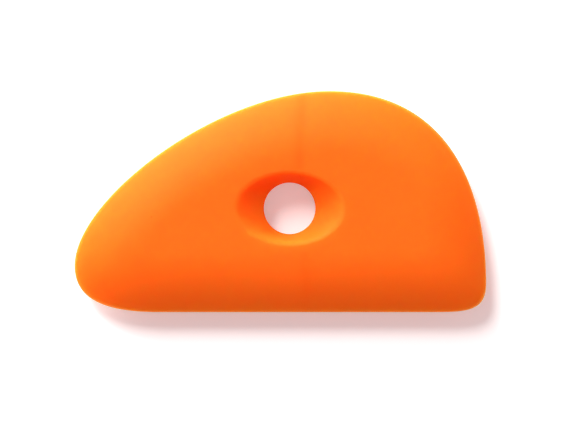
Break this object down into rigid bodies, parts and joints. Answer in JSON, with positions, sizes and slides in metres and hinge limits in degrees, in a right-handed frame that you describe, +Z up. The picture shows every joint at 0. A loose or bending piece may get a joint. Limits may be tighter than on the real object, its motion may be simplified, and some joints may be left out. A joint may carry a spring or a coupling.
{
  "type": "pottery rib",
  "caption": "Soft orange pottery rib with a straight edge, a long curved edge, a thin rim and a dished finger hole, for shaping and smoothing wet clay.",
  "frame": {"origin": "on the flat of the lower face, under the middle of the length and width", "axes": "+X along the straight edge, from the small tip to the round heel; +Y from the straight edge to the crest; +Z up through the thickness"},
  "size_m": [0.0738, 0.0396, 0.0095],
  "materials": {
    "silicone": "satin matte, soft orange silicone rubber"
  },
  "bodies": {
    "root": {"rib_body": "silicone"}
  },
  "joints": []
}
